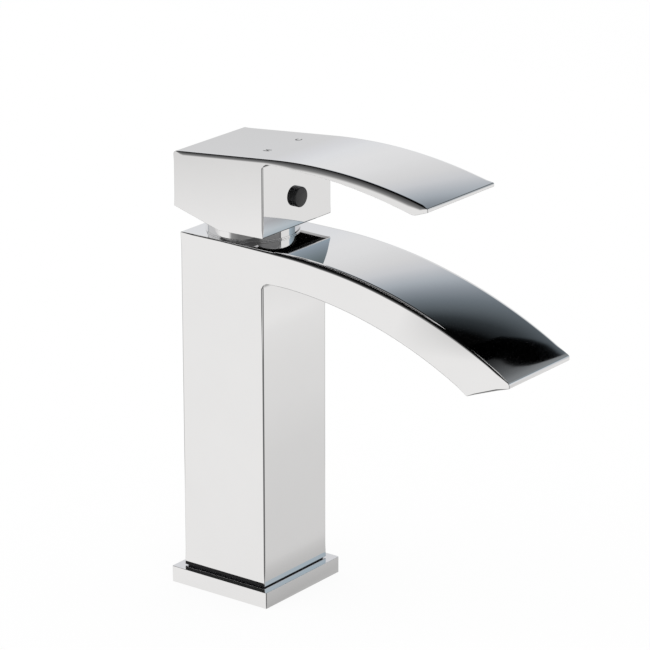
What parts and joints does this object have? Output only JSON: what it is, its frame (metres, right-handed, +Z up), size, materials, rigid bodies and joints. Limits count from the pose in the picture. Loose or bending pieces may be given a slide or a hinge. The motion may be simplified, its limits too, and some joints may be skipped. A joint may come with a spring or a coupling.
{
  "type": "basin mixer tap",
  "caption": "Single-lever basin mixer tap with a square column on a square base plate, an arched flat spout and a block handle with an arched flat lever.",
  "frame": {"origin": "centre of the base plate's underside, on the deck", "axes": "+Z up along the column, -Y towards the spout's tip and the lever's tip, hot water on the -X side and cold on the +X side"},
  "size_m": [0.045, 0.1492, 0.1735],
  "materials": {
    "chrome": "polished",
    "brass": "satin",
    "steel": "satin",
    "rubber": "matte",
    "case_plastic": "satin",
    "guide_plastic": "satin",
    "carrier_plastic": "satin",
    "ceramic": "polished",
    "cap_plastic": "satin",
    "outlet_plastic": "satin"
  },
  "bodies": {
    "tap_body": {"body_casting": "chrome", "base_plate": "chrome", "column_seal": "rubber", "deck_gasket": "rubber", "cartridge_base": "case_plastic", "port_seals": "rubber", "disc_seals": "rubber", "fixed_disc": "ceramic", "cartridge_housing": "case_plastic", "retaining_nut": "brass", "collar_oring": "rubber", "cover_collar": "chrome", "outlet_insert": "outlet_plastic", "outlet_screen": "steel", "outlet_seal": "rubber"},
    "guide": {"turning_guide": "guide_plastic", "guide_oring": "rubber", "stem_pin": "steel"},
    "disc_pack": {"moving_disc": "ceramic", "disc_carrier": "carrier_plastic"},
    "lever": {"lever_stem": "brass", "handle": "chrome", "grub_screw": "steel", "screw_cap": "cap_plastic"}
  },
  "joints": [
    {"name": "temperature_turn", "type": "hinge", "parent": "tap_body", "child": "guide", "pos_m": [0, 0, 0.13], "axis": [0, 0, 1], "range_deg": [-50, 50]},
    {"name": "flow_lift", "type": "hinge", "parent": "guide", "child": "lever", "pos_m": [0, 0, 0.13], "axis": [-1, 0, 0], "range_deg": [0, 22]},
    {"name": "disc_slide", "type": "slide", "parent": "guide", "child": "disc_pack", "axis": [0, -1, 0], "range_m": [0, 0.0034]}
  ],
  "couplings": [
    {"joint": "disc_slide", "follows": "flow_lift", "m_per_rad": 0.00878}
  ]
}
